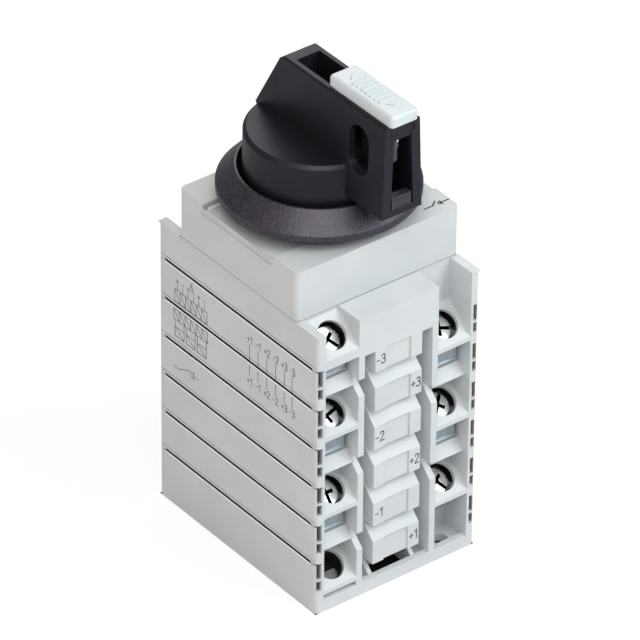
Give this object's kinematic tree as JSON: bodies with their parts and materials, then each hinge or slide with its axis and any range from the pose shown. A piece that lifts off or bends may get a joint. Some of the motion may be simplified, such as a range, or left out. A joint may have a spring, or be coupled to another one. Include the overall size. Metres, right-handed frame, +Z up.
{
  "type": "solar dc isolator switch",
  "caption": "Rotary direct-current isolator: stacked grey housings with sloped screw faces front and back, and a black lever handle with a padlock slide.",
  "frame": {"origin": "the point of the underside that lies on the switch shaft's axis", "axes": "+Z up the switch shaft towards the handle, -Y towards the front terminals and the lever's nose, +X to the right seen from the front"},
  "size_m": [0.051, 0.0656, 0.1395],
  "materials": {
    "housing": "fine moulded texture",
    "handle_black": "fine moulded grain",
    "slide_white": "satin",
    "rotor_dark": "satin",
    "steel": "bright plated",
    "tinned_copper": "tin plated, satin",
    "spring_steel": "oiled"
  },
  "bodies": {
    "stack": {"base_housing": "housing", "deck_housing_1": "housing", "deck_housing_2": "housing", "deck_housing_3": "housing", "deck_housing_4": "housing", "deck_housing_5": "housing", "top_deck_housing": "housing", "mechanism_housing": "housing", "mechanism_plate": "steel", "detent_ring": "rotor_dark", "collar": "handle_black", "stack_screws": "steel", "terminal_screws": "steel", "fixed_contact_1_front": "tinned_copper", "wire_clamp_1_front": "tinned_copper", "fixed_contact_1_back": "tinned_copper", "wire_clamp_1_back": "tinned_copper", "fixed_contact_2_front": "tinned_copper", "wire_clamp_2_front": "tinned_copper", "fixed_contact_2_back": "tinned_copper", "wire_clamp_2_back": "tinned_copper", "fixed_contact_3_front": "tinned_copper", "wire_clamp_3_front": "tinned_copper", "fixed_contact_3_back": "tinned_copper", "wire_clamp_3_back": "tinned_copper", "fixed_contact_4_front": "tinned_copper", "wire_clamp_4_front": "tinned_copper", "fixed_contact_4_back": "tinned_copper", "wire_clamp_4_back": "tinned_copper", "fixed_contact_5_front": "tinned_copper", "wire_clamp_5_front": "tinned_copper", "fixed_contact_5_back": "tinned_copper", "wire_clamp_5_back": "tinned_copper", "fixed_contact_6_front": "tinned_copper", "wire_clamp_6_front": "tinned_copper", "fixed_contact_6_back": "tinned_copper", "wire_clamp_6_back": "tinned_copper"},
    "contact_rotor": {"drive_carrier": "rotor_dark", "snap_spring": "spring_steel", "rotor_1": "rotor_dark", "moving_contact_1": "tinned_copper", "rotor_2": "rotor_dark", "moving_contact_2": "tinned_copper", "rotor_3": "rotor_dark", "moving_contact_3": "tinned_copper", "rotor_4": "rotor_dark", "moving_contact_4": "tinned_copper", "rotor_5": "rotor_dark", "moving_contact_5": "tinned_copper", "rotor_6": "rotor_dark", "moving_contact_6": "tinned_copper"},
    "handle": {"handle_lever": "handle_black", "drive_spindle": "handle_black", "front_insert": "handle_black", "handle_screw": "steel"},
    "padlock_slide": {"lock_slide": "slide_white", "slide_rail": "handle_black"},
    "pawl": {"lock_pawl": "handle_black", "pawl_spring": "spring_steel"}
  },
  "joints": [
    {"name": "handle_turn", "type": "hinge", "parent": "stack", "child": "handle", "pos_m": [0, 0, 0.109], "axis": [0, 0, -1], "range_deg": [0, 90]},
    {"name": "contact_turn", "type": "hinge", "parent": "stack", "child": "contact_rotor", "pos_m": [0, 0, 0.045], "axis": [0, 0, -1], "range_deg": [0, 90]},
    {"name": "padlock_slide_push", "type": "slide", "parent": "handle", "child": "padlock_slide", "axis": [0, 1, 0], "range_m": [0, 0.012]},
    {"name": "pawl_drop", "type": "slide", "parent": "handle", "child": "pawl", "axis": [0, 0, -1], "range_m": [0, 0.0025], "deforming": ["pawl_spring"]}
  ],
  "couplings": [
    {"joint": "contact_turn", "follows": "handle_turn", "ratio": 1},
    {"joint": "pawl_drop", "follows": "padlock_slide_push", "ratio": 0.20833}
  ]
}
